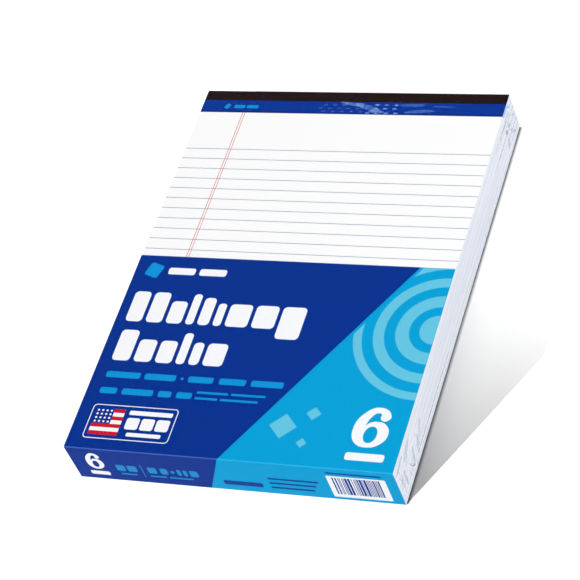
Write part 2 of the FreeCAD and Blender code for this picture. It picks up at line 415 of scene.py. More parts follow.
def trim(shape, through, outward):
    """Cuts away what lies past a line."""
    only(shape)
    bpy.ops.object.mode_set(mode="EDIT")
    bpy.ops.mesh.select_all(action="SELECT")
    bpy.ops.mesh.bisect(plane_co=through, plane_no=outward, clear_outer=True)
    bpy.ops.object.mode_set(mode="OBJECT")
    return shape


def joined(shapes):
    """One object from several."""
    deselect()
    for shape in shapes:
        shape.select_set(True)
    bpy.context.view_layer.objects.active = shapes[0]
    if len(shapes) > 1:
        bpy.ops.object.join()
    return bpy.context.object


# The way across each panel from left to right, as seen from outside
PANEL_ACROSS = {
    "top": (1, 0, 0),
    "foot": (1, 0, 0),
    "right": (0, 1, 0),
    "left": (0, -1, 0),
    "head": (-1, 0, 0),
}


def panel(side, corner):
    """The place of a flat panel, from its left and upper corner as seen from outside."""
    across = PANEL_ACROSS[side]
    up = (0, 1, 0) if side == "top" else (0, 0, 1)
    out = Vector(across).cross(Vector(up))
    turn = Matrix((across, up, out)).transposed().to_4x4()
    return Matrix.Translation(corner) @ turn


def on_top(height):
    """The place of a panel that lies flat at a height, measured from the left and from the head."""
    return panel("top", (LEFT, HEAD, height))


def on_foot():
    """The place of the card's front panel, measured from the left and down from the fold."""
    return panel("foot", (LEFT, CARD_FRONT, CARD_TOP))


def printed(name, shapes, material, place, thick=INK):
    """Flat shapes as one thin layer of ink on a surface."""
    piece = only(joined(shapes))
    piece.name = name
    piece.data.name = name
    layer = piece.modifiers.new("ink", "SOLIDIFY")
    layer.thickness = thick
    layer.offset = 1
    bpy.ops.object.modifier_apply(modifier="ink")
    piece.data.transform(place)
    piece.data.materials.clear()
    piece.data.materials.append(material)
    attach(piece, "root")
    return piece


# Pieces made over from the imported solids

def copy_of(node, name):
    """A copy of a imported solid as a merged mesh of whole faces."""
    piece = bpy.data.objects.new(name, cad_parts[node].data.copy())
    bpy.context.scene.collection.objects.link(piece)
    piece.data.name = name
    piece.data.materials.clear()
    only(piece)
    bpy.ops.object.mode_set(mode="EDIT")
    bpy.ops.mesh.select_all(action="SELECT")
    bpy.ops.mesh.remove_doubles(threshold=0.000001)
    bpy.ops.mesh.dissolve_limited(angle_limit=math.radians(1))
    bpy.ops.object.mode_set(mode="OBJECT")
    return piece


def cut_across(piece, through, across, chosen):
    """Cuts the chosen faces of a piece along a plane."""
    only(piece)
    for polygon in piece.data.polygons:
        polygon.select = chosen(polygon)
    bpy.ops.object.mode_set(mode="EDIT")
    bpy.ops.mesh.bisect(plane_co=through, plane_no=across)
    bpy.ops.object.mode_set(mode="OBJECT")


def paint_faces(piece, materials, which):
    """Gives each face one of the materials."""
    for material in materials:
        piece.data.materials.append(material)
    for polygon in piece.data.polygons:
        polygon.material_index = which(polygon)


def dress(part, material):
    """Gives one part of every pad its material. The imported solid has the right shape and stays."""
    for number in range(1, TOP_PAD + 1):
        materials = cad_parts[f"pad_{number}_{part}"].data.materials
        materials.clear()
        materials.append(material)


def make_tapes():
    """Each pad's binding tape: black round the head, with a blue band on the front."""
    black = tape_material("tape_black", TAPE_BLACK)
    blue = tape_material("tape_blue", TAPE_BLUE)
    band = HEAD - BLACK_BAND
    for number in range(1, TOP_PAD + 1):
        node = f"pad_{number}_tape"
        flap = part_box(node)[1].z - TAPE_FLAP
        piece = copy_of(node, f"binding_tape_{number}")
        cut_across(piece, (0, band, 0), (0, 1, 0), lambda polygon: True)
        paint_faces(piece, (black, blue), lambda face: int(face.center.y < band and face.center.z > flap))
        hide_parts(node)
        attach(piece, "root")


# The small print on the blue band: a turned block and two bars
BAND_BLOCK = (17.4, 20.6, 12.0, 16.4, 0.7)
BAND_BLOCK_TURN = -30
BAND_BARS = ((24.0, 32.0, 13.0, 15.8, 0.8), (33.4, 41.8, 13.0, 15.8, 0.8))


def make_band_mark():
    """A small plain mark on the top pad's blue band."""
    shapes = [turned(bar(*BAND_BLOCK), BAND_BLOCK_TURN)] + [bar(*sizes) for sizes in BAND_BARS]
    ink = print_ink("band_cyan", LIGHT_BLUE)
    printed("band_mark", shapes, ink, on_top(TAPE_HIGH.z), BAND_INK)


def make_rulings():
    """The ruled lines and the double margin of the front sheet, as far as the card."""
    down_to_card = (HEAD - CARD_EDGE) / MM
    rules = []
    place = FIRST_RULE / MM
    while place < down_to_card:
        half = RULE_WIDE / MM / 2
        rules.append(bar(0, WIDTH / MM, place - half, place + half))
        place += RULE_PITCH / MM
    sheet = on_top(SHEET_TOP)
    printed("ruled_lines", rules, print_ink("rule_ink", RULE_BLUE, 0.7), sheet, RULE_INK)
    tape_end = (HEAD - TAPE_LOW.y) / MM
    half = MARGIN_WIDE / MM / 2
    margins = [bar(line / MM - half, line / MM + half, tape_end, down_to_card) for line in MARGINS]
    printed("margin_lines", margins, print_ink("margin_ink", MARGIN_RED, 0.7), sheet, MARGIN_INK)


def split_on_top(place):
    """Where the card's two colours meet on the top panel, at a place along Y."""
    share = (CARD_EDGE - place) / (CARD_EDGE - CARD_FRONT)
    return LEFT + SPLIT_AT_EDGE + share * (SPLIT_AT_FOLD - SPLIT_AT_EDGE)


def split_on_foot(height):
    """Where the card's two colours meet on the front panel, at a height."""
    share = (CARD_TOP - height) / (CARD_TOP - CARD_LOW.z)
    return LEFT + SPLIT_AT_FOLD + share * (SPLIT_AT_BASE - SPLIT_AT_FOLD)


def towards_navy():
    """The direction on the top panel that leads straight from the line between the colours into the navy."""
    along = Vector((SPLIT_AT_FOLD - SPLIT_AT_EDGE, CARD_FRONT - CARD_EDGE, 0))
    return Vector((along.y, -along.x, 0)).normalized()


def make_card():
    """The folded card with its two fields of colour. The ink is paler along the fold."""
    piece = copy_of("printed_card", "folded_card")

    def outer(face):
        """Whether a face is on the card's printed side, with its rounded fold."""
        return face.normal.z > 0.3 and face.center.z > SHEET_TOP + TINY or face.normal.y < -0.3

    def on_panel(face):
        return face.normal.z > 0.9 and face.center.z > CARD_TOP - TINY

    def on_front(face):
        return face.normal.y < -0.9 and face.center.y < CARD_FRONT + TINY

    def on_fold(face):
        return outer(face) and not on_panel(face) and not on_front(face)

    fold_split = LEFT + SPLIT_AT_FOLD
    down = Vector((SPLIT_AT_BASE - SPLIT_AT_FOLD, 0, CARD_LOW.z - CARD_TOP))
    cut_across(piece, (0, CARD_FRONT + FOLD_PALE_REACH, 0), (0, 1, 0), on_panel)
    cut_across(piece, (0, 0, CARD_TOP - FOLD_PALE_REACH), (0, 0, 1), on_front)
    cut_across(piece, (fold_split, CARD_FRONT, 0), towards_navy(), on_panel)
    cut_across(piece, (fold_split, 0, CARD_TOP), Vector((down.z, 0, -down.x)).normalized(), on_front)
    cut_across(piece, (fold_split, 0, 0), (1, 0, 0), on_fold)

    def field(face):
        """Which of the inks below a face carries."""
        if not outer(face):
            return 4
        if on_front(face):
            cyan = face.center.x > split_on_foot(face.center.z)
        else:
            cyan = face.center.x > split_on_top(face.center.y)
        paler_at_fold = face.center.z > CARD_TOP - FOLD_PALE_REACH and face.center.y < CARD_FRONT + FOLD_PALE_REACH
        return int(cyan) + 2 * int(paler_at_fold)

    inks = (
        print_ink("card_navy", NAVY),
        print_ink("card_cyan", CYAN),
        print_ink("card_navy_at_fold", NAVY_AT_FOLD, 0.6),
        print_ink("card_cyan_at_fold", CYAN_AT_FOLD, 0.6),
        print_ink("card_board", WHITE_INK, 0.8),
    )
    paint_faces(piece, inks, field)
    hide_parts("printed_card")
    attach(piece, "root")


# The top panel's print, in millimetres from the left edge and from the head. A bar is given by its left and
# right end, its upper and lower edge and its rounding, a figure by its box, and a disc by its middle and its
# radius.
HEADING_BARS = ((24, 43, 155.8, 161.2, 1.6), (46, 65, 155.8, 161.2, 1.6))
HEADING_BLOCK = (8.6, 18.8, 153.2, 163.8, 1.6)
HEADING_BLOCK_TURN = -18
COUNT_FIGURE = (183.0, 205.8, 253.3, 282.2)
COUNT_BAR = (183.2, 207.8, 286.4, 291.8, 1.6)
# The large blocks, row by row: where the row starts, and the width, upper edge and lower edge of each block. A
# narrow block is rounded by a share of its width.
BLOCK_GAP = 2.7
BLOCK_ROUNDING = 2.8
NARROW_ROUNDING = 0.4
BLOCK_ROWS = (
    (7.0, (
        (11.5, 176.2, 200.3), (11.5, 176.2, 200.3), (11, 182.6, 200.3), (5.6, 176.2, 200.3),
        (8, 178.6, 200.3), (5.6, 182.6, 200.3), (15.4, 182.6, 200.3), (15.4, 182.6, 200.3),
        (16, 182.6, 207.6),
    )),
    (8.4, (
        (12.5, 207.2, 231.3), (12.2, 214.0, 231.3), (11.6, 214.0, 231.3), (6, 207.2, 231.3),
        (7, 214.0, 231.3), (13.6, 214.0, 231.3),
    )),
)
# The small bars, row by row: the upper and lower edge, and where each bar starts and ends. Each is rounded by a
# share of its height.
SMALL_ROUNDING = 0.3
SMALL_ROWS = (
    (240.0, 244.6, ((9.2, 33), (36, 57.5), (66, 83), (87, 105), (108.5, 130))),
    (252.4, 257.0, ((9.2, 21), (24.5, 46), (49.5, 58.5), (62, 72.5))),
    (250.8, 252.4, ((75, 96), (98, 121))),
    (255.2, 256.8, ((75, 90), (92, 117))),
)
SMALL_DISC = (61.8, 242.3, 1.0)
SMALL_DISC_SIDES = 24


def blocks_in_a_row(left, row):
    """Solid blocks in a row, in place of a line of bold print."""
    shapes = []
    for wide, near, far in row:
        shapes.append(bar(left, left + wide, near, far, min(BLOCK_ROUNDING, wide * NARROW_ROUNDING)))
        left += wide + BLOCK_GAP
    return shapes


def make_card_print():
    """The print on the card's top panel: plain blocks, bars, rings and one figure."""
    white = print_ink("card_white", WHITE_INK)
    light = print_ink("card_light_blue", LIGHT_BLUE)
    pale = print_ink("card_pale_cyan", PALE_CYAN)
    red = print_ink("card_red", STRIPE_RED)
    top = on_top(CARD_TOP)

    bold = [shape for start, row in BLOCK_ROWS for shape in blocks_in_a_row(start, row)]
    bold += [bar(*sizes) for sizes in HEADING_BARS]
    bold += [figure_six(*COUNT_FIGURE), bar(*COUNT_BAR)]
    printed("card_bold_print", bold, white, top)

    small = []
    for near, far, bars in SMALL_ROWS:
        small += [bar(start, end, near, far, (far - near) * SMALL_ROUNDING) for start, end in bars]
    small.append(disc(*SMALL_DISC, SMALL_DISC_SIDES))
    small.append(turned(bar(*HEADING_BLOCK), HEADING_BLOCK_TURN))
    printed("card_small_print", small, light, top)
    make_badge(white, red, top)
    make_rings(pale, top)


# The outlined label on the top panel, with its bars and its striped panel. The upper stripes are short, and
# dots lie on the navy beside them.
LABEL_OUTLINE = (9.5, 68.0, 265.3, 290.8, 2.6)
LABEL_LINE = 0.55
LABEL_BARS = (
    (35.5, 65, 268.6, 271.8, 0.9),
    (35.5, 44.4, 274.0, 282.6, 1.6),
    (45.8, 54.7, 274.0, 282.6, 1.6),
    (56.1, 65.0, 274.0, 282.6, 1.6),
    (38.5, 62, 284.9, 287.7, 0.9),
)
STRIPED_PANEL = (12.4, 32.4, 268.2, 287.9)
STRIPES = 7
SHORT_STRIPES = 4
DOTTED_WIDE = 12.4
DOT_COUNT = 4
DOT_FROM_LEFT = 1.6
DOT_FROM_EDGE = 1.5
DOT_PITCH = 3.0
DOT_RADIUS = 0.72
DOT_SIDES = 16


def make_badge(white, red, top):
    """A label with a rounded outline, a striped panel with dots and three lines of bars."""
    left, right, near, far = STRIPED_PANEL
    pitch = (far - near) / STRIPES
    pale_parts = [hollow(bar(*LABEL_OUTLINE), LABEL_LINE)]
    red_parts = []
    for stripe in range(STRIPES):
        start = left + DOTTED_WIDE if stripe < SHORT_STRIPES else left
        band = bar(start, right, near + stripe * pitch, near + (stripe + 1) * pitch)
        (pale_parts if stripe % 2 else red_parts).append(band)
    row_pitch = (SHORT_STRIPES * pitch - 2 * DOT_FROM_EDGE) / (DOT_COUNT - 1)
    for row in range(DOT_COUNT):
        for column in range(DOT_COUNT):
            across = left + DOT_FROM_LEFT + column * DOT_PITCH
            pale_parts.append(disc(across, near + DOT_FROM_EDGE + row * row_pitch, DOT_RADIUS, DOT_SIDES))
    pale_parts += [bar(*sizes) for sizes in LABEL_BARS]
    printed("card_badge", pale_parts, white, top)
    printed("card_badge_stripes", red_parts, red, top)


# The rings on the cyan field: their middle, the disc in it, and the outer radius and width of each ring. They
# keep a little inside the card's edges and the line between the colours.
RINGS_MIDDLE = (216.0, 194.0)
RINGS_DISC = 11
RINGS = ((26, 8.5), (40, 7), (52.5, 5.5))
RING_SIDES = 96
RINGS_FROM_EDGE = 0.2 * MM
RINGS_FROM_SPLIT = 2.4 * MM
DIAMONDS = ((138.5, 271.5, 9.0), (155.5, 261.0, 4.8), (153.5, 282.5, 3.4))


def make_rings(pale, top):
    """Pale rings that spread from the card's right edge, and three small diamonds."""
    shapes = [disc(*RINGS_MIDDLE, RINGS_DISC)]
    for outer, wide in RINGS:
        shapes.append(hollow(disc(*RINGS_MIDDLE, outer, RING_SIDES), wide))
    right_end = (WIDTH - RINGS_FROM_EDGE, 0, 0)
    upper_end = (0, -(HEAD - CARD_EDGE) - RINGS_FROM_EDGE, 0)
    split = (SPLIT_AT_FOLD + RINGS_FROM_SPLIT, CARD_FRONT - HEAD, 0)
    for shape in shapes:
        trim(shape, right_end, (1, 0, 0))
        trim(shape, upper_end, (0, 1, 0))
        trim(shape, split, towards_navy())
    shapes += [disc(*sizes, 4) for sizes in DIAMONDS]
    printed("card_rings", shapes, pale, top)


# The front panel's print, in millimetres from the left edge and down from the fold. Blocks in a row share their
# upper edge, lower edge and rounding, and so do the thin bars under them.
FOOT_FIGURE = (10.4, 21.8, 4.9, 21.6)
FOOT_FIGURE_BAR = (9.4, 22.8, 24.0, 27.8, 1.2)
FOOT_WHITE_BOX = (171.3, 208.7, 8.0, 29.7, 0.8)
FOOT_BLOCKS = ((29.5, 35.5), (37, 43.5), (51, 57), (59.5, 64.5), (71, 73.6), (75.2, 77.8), (79.6, 85.2))
FOOT_BLOCK_HEIGHT = (15.6, 21.8, 1.2)
FOOT_RULE = (46.8, 47.4, 13.6, 26.2)
FOOT_DISC = (67.8, 18.7, 1.4)
FOOT_THIN_BARS = ((31, 42), (51, 62), (64, 80))
FOOT_THIN_HEIGHT = (24.2, 25.6, 0.5)
FOOT_NAVY_BARS = (
    (100.5, 126.5, 22.2, 26.6, 1.4),
    (172, 207, 4.3, 5.7, 0.5),
    (131.5, 164.5, 15.6, 17.3, 0.6),
    (131.5, 162, 20.2, 21.9, 0.6),
    (131.5, 160, 24.8, 26.5, 0.6),
)
# The upright bars in the white box, with the widths and the gaps that are drawn for them
UPRIGHT_START = 174.5
UPRIGHT_LAST_START = 205.0
UPRIGHT_END = 206
UPRIGHT_EDGES = (9.4, 26.6)
UPRIGHT_WIDTHS = (0.5, 0.5, 1.0, 1.5)
UPRIGHT_GAPS = (0.45, 0.45, 0.9)
UPRIGHT_SEED = 5


def upright_bars():
    """A row of plain upright bars of mixed widths."""
    draw = random.Random(UPRIGHT_SEED)
    bars = []
    place = UPRIGHT_START
    while place < UPRIGHT_LAST_START:
        wide = draw.choice(UPRIGHT_WIDTHS)
        bars.append(bar(place, min(place + wide, UPRIGHT_END), *UPRIGHT_EDGES))
        place += wide + draw.choice(UPRIGHT_GAPS)
    return bars


def make_foot_print():
    """The print on the card's front panel, with a box of plain upright bars."""
    white = print_ink("foot_white", WHITE_INK)
    light = print_ink("foot_light_blue", FOOT_BLUE)
    navy = print_ink("foot_navy", FOOT_NAVY)
    front = on_foot()
    bold = [figure_six(*FOOT_FIGURE), bar(*FOOT_FIGURE_BAR), bar(*FOOT_WHITE_BOX)]
    printed("foot_bold_print", bold, white, front)
    small = [bar(start, end, *FOOT_BLOCK_HEIGHT) for start, end in FOOT_BLOCKS]
    small += [bar(*FOOT_RULE), disc(*FOOT_DISC, SMALL_DISC_SIDES)]
    small += [bar(start, end, *FOOT_THIN_HEIGHT) for start, end in FOOT_THIN_BARS]
    printed("foot_small_print", small, light, front)
    printed("foot_marks", [bar(*sizes) for sizes in FOOT_NAVY_BARS], navy, front)
    on_white = front @ Matrix.Translation((0, 0, INK))
    printed("foot_upright_bars", upright_bars(), navy, on_white, SECOND_INK)


# The film

FILM_WALL = 0.04 * MM
FILM_ROUNDING = 0.4 * MM
FILM_ALPHA = 0.015
# Where the film comes down from the card's edge to the top sheet
RAMP_START = CARD_EDGE + 0.1 * MM
RAMP_END = RAMP_START + 6 * MM
# The vent holes in the right side, in millimetres: how far along the pack and how high each lies, their
# radius, the width of their rims, and the length of the rods that cut them
VENTS = ((134.8, 18.05), (128.8, 18.05))
VENT_RADIUS = 0.8
VENT_RIM = 0.7
VENT_PUNCH = 0.3
VENT_SIDES = 24
VENT_RIM_THICK = 0.05 * MM
# A crease is a flat blister: how thick it is in all and how far its middle stands off its panel, both in
# millimetres, and how squarely it faces out where its rim is clear and where it shows fully
PUCKER_THICK = 0.16
PUCKER_RISE = 0.02
PUCKER_SEGMENTS = 16
RIM_CLEAR = 0.975
RIM_SHOWN = 0.998
# Where the film has gathered. Each mark has its middle across and down its panel in millimetres, its length
# and width, how far it is turned and how far it is bowed, both in degrees. Marks on the sides are written for
# the right side and measured from the foot end, those on the head end from its left as seen from there, and
# those on the band from the pack's left edge and head.
# Painted highlights where the film is folded
SIDE_FOLD_HIGHLIGHTS = (
    (15.5, 22.5, 11.5, 2.0, 88, 25), (20.3, 22.5, 11.5, 2.2, -72, -20), (25.3, 14.5, 11.0, 2.6, 47, 10),
    (33.0, 20.0, 20.0, 3.4, 58, -14), (41.8, 22.3, 12.0, 2.2, 45, 0), (3.8, 24.0, 12.0, 2.2, 72, 12),
    (8.0, 10.0, 10.0, 2.0, 30, 10),
)
# Painted shade in the film's hollows, most of it near the ends
SIDE_HOLLOW_SHADES = (
    (11.3, 19.5, 13.0, 3.6, 85, 10), (27.6, 21.0, 14.0, 3.4, 66, 0), (37.2, 21.5, 13.0, 3.2, 60, -10),
    (19.0, 13.0, 9.0, 2.4, 40, 0), (70.0, 26.6, 80.0, 1.7, 0, 0), (271.0, 7.6, 40.0, 2.2, 0, 0),
    (278.5, 7.8, 9.0, 2.0, 0, 0), (276.5, 23.0, 9.0, 4.4, 70, 0), (287.0, 22.0, 14.0, 2.6, -52, 10),
    (262.0, 15.6, 36.0, 1.6, 1, 0), (292.5, 12.0, 12.0, 2.2, -60, 12), (6.0, 17.0, 18.0, 4.4, 82, 8),
    (22.0, 8.0, 16.0, 4.0, 16, 0), (9.0, 5.5, 14.0, 3.6, 8, 0), (45.0, 17.0, 12.0, 3.0, 50, 0),
)
# Painted shade in small pinches of the film near the foot end
SIDE_NIP_SHADES = ((23.8, 25.8, 5.4, 1.2, -44, 20), (20.9, 20.8, 4.6, 0.9, -80, 0), (17.6, 25.4, 4.0, 0.8, 82, 0))
# Painted highlights along the sides' lower edge, and two near the head end
SIDE_GLEAMS = (
    (52.0, 30.4, 100.0, 2.8, 0, 0), (140.0, 30.7, 130.0, 2.2, 0, 0), (225.0, 30.8, 120.0, 1.8, 0, 0),
    (285.5, 17.0, 6.0, 3.0, -50, 0), (291.0, 8.0, 12.0, 2.2, -60, 0),
)
# Painted pale blue reflections beside the tape's band
SIDE_GLINTS = ((285.0, 1.9, 12.0, 2.4, 2, 0), (291.0, 4.2, 7.0, 1.6, -50, 0))
# Painted highlights of creases on the head end
HEAD_CREASE_HIGHLIGHTS = (
    (8, 8, 12, 0.8, 24, 20), (13, 15, 16, 0.8, 8, -14), (20, 23, 20, 0.8, -8, 10), (7, 20, 9, 0.7, 40, 20),
    (207, 9, 13, 0.8, -26, 20), (200, 17, 18, 0.8, -6, -12), (194, 24, 20, 0.8, 9, 10),
    (208, 23, 9, 0.7, -42, 20), (60, 5, 26, 0.6, 2, 6), (120, 27, 30, 0.6, -2, 5), (152, 7, 24, 0.6, 3, -6),
)
# Painted highlights streaked over the blue band
BAND_HIGHLIGHT_STREAKS = (
    (112.0, 11.2, 24.0, 2.8, -9, 6), (121.0, 13.4, 22.0, 4.6, -18, -6), (128.0, 17.2, 12.0, 3.0, -6, 0),
)
# Fainter painted highlights over the blue band
BAND_SHEENS = (
    (152.0, 11.2, 18.0, 2.8, 1, 8), (158.0, 16.4, 22.0, 3.2, 5, -10), (174.0, 12.0, 16.0, 1.6, -2, 0),
)
# Rows of short dashes in the film over the band, in painted highlight: how far down, where the row starts, and
# how many.
# Each dash has the same length, width, turn and bow.
BAND_DASH_ROWS = ((11.3, 127.2, 3), (14.6, 126.8, 3), (18.6, 121.8, 4))
BAND_FAINT_ROWS = ((11.8, 90.6, 5), (14.8, 87.4, 6), (17.6, 90.2, 5))
BAND_DASH_PITCH = 6.7
BAND_DASH = (3.4, 1.5, 4, 0)
# How high the highlight streaks lie over the top sheet, and how much higher the dashes do
BAND_STREAK_RISE = 0.15 * MM
BAND_DASH_RISE = 0.1 * MM


def film_shell():
    """A closed skin round the pack that steps down from the card to the top pad, with rounded edges."""
    bpy.ops.mesh.primitive_cube_add(size=1, location=(FILM_LOW + FILM_HIGH) / 2)
    piece = only(bpy.context.object)
    piece.scale = FILM_HIGH - FILM_LOW
    bpy.ops.object.transform_apply(location=True, rotation=True, scale=True)
    bpy.ops.object.mode_set(mode="EDIT")
    for place in (RAMP_START, RAMP_END):
        bpy.ops.mesh.select_all(action="SELECT")
        bpy.ops.mesh.bisect(plane_co=(0, place, 0), plane_no=(0, 1, 0))
    bpy.ops.object.mode_set(mode="OBJECT")
    drop = CARD_TOP - SHEET_TOP
    for vertex in piece.data.vertices:
        if vertex.co.z > FILM_HIGH.z - TINY and vertex.co.y > RAMP_END - TINY:
            vertex.co.z -= drop
    rounding = piece.modifiers.new("rounding", "BEVEL")
    rounding.width = FILM_ROUNDING
    rounding.segments = 3
    rounding.angle_limit = math.radians(40)
    bpy.ops.object.modifier_apply(modifier="rounding")
    return piece


def vent_punch():
    """Two short rods through the film's right side, which the vent holes are cut with."""
    punches = []
    across = (0, math.radians(90), 0)
    sizes = {"vertices": VENT_SIDES, "radius": VENT_RADIUS * MM, "depth": VENT_PUNCH * MM}
    for along, height in VENTS:
        place = (FILM_HIGH.x, along * MM, height * MM)
        bpy.ops.mesh.primitive_cylinder_add(location=place, rotation=across, **sizes)
        punches.append(bpy.context.object)
    punch = only(joined(punches))
    bpy.ops.object.transform_apply(location=True, rotation=True, scale=True)
    return punch


def make_film():
    """The clear film, with its two vent holes in the right side."""
    piece = film_shell()
    piece.name = "clear_film"
    piece.data.name = "clear_film"
    wall = piece.modifiers.new("wall", "SOLIDIFY")
    wall.thickness = FILM_WALL
    wall.offset = -1
    bpy.ops.object.modifier_apply(modifier="wall")
    punch = vent_punch()
    only(piece)
    holes = piece.modifiers.new("holes", "BOOLEAN")
    holes.operation = "DIFFERENCE"
    holes.object = punch
    bpy.ops.object.modifier_apply(modifier="holes")
    bpy.data.objects.remove(punch)
    bpy.ops.object.shade_smooth_by_angle(angle=math.radians(50))
    piece.data.materials.append(film_material())
    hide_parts("shrink_film")
    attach(piece, "root")


def pucker(across, down, long, wide, turn, bow):
    """One long thin blister of film."""
    lengthwise = (0, math.radians(90), 0)
    bpy.ops.mesh.primitive_uv_sphere_add(
        segments=PUCKER_SEGMENTS, ring_count=PUCKER_SEGMENTS, radius=0.5, rotation=lengthwise
    )
    shape = only(bpy.context.object)
    bpy.ops.object.transform_apply(location=True, rotation=True, scale=True)
    shape.scale = (long * MM, wide * MM, PUCKER_THICK * MM)
    bpy.ops.object.transform_apply(location=True, rotation=True, scale=True)
    if bow:
        bend = shape.modifiers.new("bow", "SIMPLE_DEFORM")
        bend.deform_method = "BEND"
        bend.deform_axis = "Z"
        bend.angle = math.radians(bow)
        bpy.ops.object.modifier_apply(modifier="bow")
    lay = Matrix.Rotation(math.radians(turn), 4, "Z")
    shape.data.transform(Matrix.Translation((across * MM, -down * MM, PUCKER_RISE * MM)) @ lay)
    return shape


def puckers_on(name, marks, material, place):
    """Blisters of gathered film on one panel, as one piece that keeps no light from what is under it."""
    piece = only(joined([pucker(*mark) for mark in marks]))
    piece.name = name
    piece.data.name = name
    piece.data.transform(place)
    bpy.ops.object.shade_smooth()
    piece.visible_shadow = False
    piece.visible_diffuse = False
    piece.data.materials.clear()
    piece.data.materials.append(material)
    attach(piece, "root")


def mirrored(marks):
    """The marks of the right side as they lie on the left side, which is measured from the head end."""
    long = (FILM_HIGH.y - FILM_LOW.y) / MM
    return [(long - across, down, size, wide, -turn, -bow) for across, down, size, wide, turn, bow in marks]


def dashes_in(rows):
    """Short even dashes in rows."""
    marks = []
    for down, start, count in rows:
        marks += [(start + number * BAND_DASH_PITCH, down, *BAND_DASH) for number in range(count)]
    return marks


def on_right_side():
    """The place of the film's right side, measured from the foot end and from the top."""
    return panel("right", (FILM_HIGH.x, FILM_LOW.y, FILM_HIGH.z))


def make_side_puckers():
    """The gathered film on the two sides, most of it near their ends, and on the head end, with painted
    highlights and painted shade on its creases.
    """
    # The crease colours are painted highlights, painted shade and painted reflections
    fold = pucker_material("film_fold_highlight", FILM_HIGHLIGHT, FILM_HIGHLIGHT, 0.5, 0.8)
    dull = pucker_material("film_hollow_shade", FILM_SHADE, FILM_SHADE, 0.2, 0.42)
    nip_shade = pucker_material("film_nip_shade", FILM_NIP_SHADE, FILM_NIP_SHADE, 0.5, 0.75)
    gleam = pucker_material("film_gleam", FILM_HIGHLIGHT, FILM_HIGHLIGHT, 0.4, 0.6)
    glint = pucker_material("film_glint", FILM_GLINT, FILM_GLINT, 0.45, 0.75)
    right = on_right_side()
    left = panel("left", (FILM_LOW.x, FILM_HIGH.y, FILM_HIGH.z))
    groups = (
        ("fold_highlights", SIDE_FOLD_HIGHLIGHTS, fold),
        ("hollow_shades", SIDE_HOLLOW_SHADES, dull),
        ("nip_shades", SIDE_NIP_SHADES, nip_shade),
        ("gleams", SIDE_GLEAMS, gleam),
        ("glints", SIDE_GLINTS, glint),
    )
    for name, marks, material in groups:
        puckers_on(f"film_{name}_right", marks, material, right)
        puckers_on(f"film_{name}_left", mirrored(marks), material, left)
    puckers_on("film_crease_highlights_head", HEAD_CREASE_HIGHLIGHTS, fold, panel("head", FILM_HIGH))


def make_band_puckers():
    """The gathered film over the tape's blue band: painted highlight streaks, with short dashes of painted
    highlight over them.
    """
    faint = pucker_material("film_faint_highlight", FILM_HIGHLIGHT_ON_BLUE, FILM_HIGHLIGHT_ON_BLUE, 0.1, 0.26)
    streak_highlight = pucker_material("film_streak_highlight", FILM_HIGHLIGHT_ON_BLUE, FILM_STREAK_HIGHLIGHT, 0.04, 0.34)
    dash_highlight = pucker_material("film_dash_highlight", FILM_HIGHLIGHT_ON_BLUE, FILM_STREAK_HIGHLIGHT, 0.4, 0.6)
    over_band = on_top(SHEET_TOP + BAND_STREAK_RISE)
    above = on_top(SHEET_TOP + BAND_STREAK_RISE + BAND_DASH_RISE)
    puckers_on("film_highlight_streaks_on_band", BAND_HIGHLIGHT_STREAKS, streak_highlight, over_band)
    puckers_on("film_sheens_on_band", BAND_SHEENS, faint, over_band)
    puckers_on("film_dash_highlights_on_band", dashes_in(BAND_DASH_ROWS), dash_highlight, above)
    puckers_on("film_faint_dash_highlights_on_band", dashes_in(BAND_FAINT_ROWS), faint, above)


def make_vent_rims():
    """The thicker rims where the film drew back round the vent holes, in dark bluish greys that paint the shade
    of the holes.
    """
    rims = []
    for along, height in VENTS:
        across = along - FILM_LOW.y / MM
        down = FILM_HIGH.z / MM - height
        rims.append(hollow(disc(across, down, VENT_RADIUS + VENT_RIM, VENT_SIDES), VENT_RIM))
    vent_rim_shade = pucker_material("film_vent_rim_shade", FILM_VENT_SHADE_DARK, FILM_VENT_SHADE, 0.55, 0.85)
    printed("vent_rims", rims, vent_rim_shade, on_right_side(), VENT_RIM_THICK)


# Stage, light and camera

# The floor's greys, as the camera and gloss see them and as they throw light back at the pack
FLOOR_SEEN = (0.42, 0.42, 0.42, 1)
FLOOR_UNSEEN = (0.12, 0.12, 0.12, 1)
FLOOR_SIZE = 6
# A painted contact shadow, a dark line where the pack's right side meets the floor: its colour, where it starts
# to fade and is gone, how softly its ends start, and its strength past the middle of the pack
CONTACT_SHADOW_COLOUR = (0.085, 0.083, 0.1, 1)
CONTACT_FADE = 0.5 * MM
CONTACT_END = 2.6 * MM
CONTACT_SOFT = 1 * MM
CONTACT_WEAK = 0.55
# The floor's own glow for the camera grows from the first place to the last, measured along the pack with a
# lean to its right, so that the shadow fades to white
GLOW_LEAN = 0.35
GLOW_FIRST = -0.098
GLOW_LAST = 0.088
GLOW_FULL = 0.8
# The world's strength as a background and as light
WORLD_SHOWN = 1.0
WORLD_LIGHT = 0.5

# A sun has the way its light travels, its strength and its spread in degrees, which softens its shadows. An
# area lamp has its place, its target, its size and its power in watts.
OVERHEAD = {"travel": (0.2, 0.95, -1.25), "strength": 1.9, "spread": 40}
RIGHT_SIDE = {"place": (1.2, 0.3, 0.1), "target": (0, 0, 0.015), "size": 0.7, "power": 15.2}
FOOT_END = {"place": (-0.3, -1.25, 0.1), "target": (0, -0.15, 0.015), "size": 0.7, "power": 6.6}
LOW_SUN = {"travel": (0.456, 0.89, -math.tan(math.radians(13.9))), "strength": 26, "spread": 0.6}
SUN_DISTANCE = 2

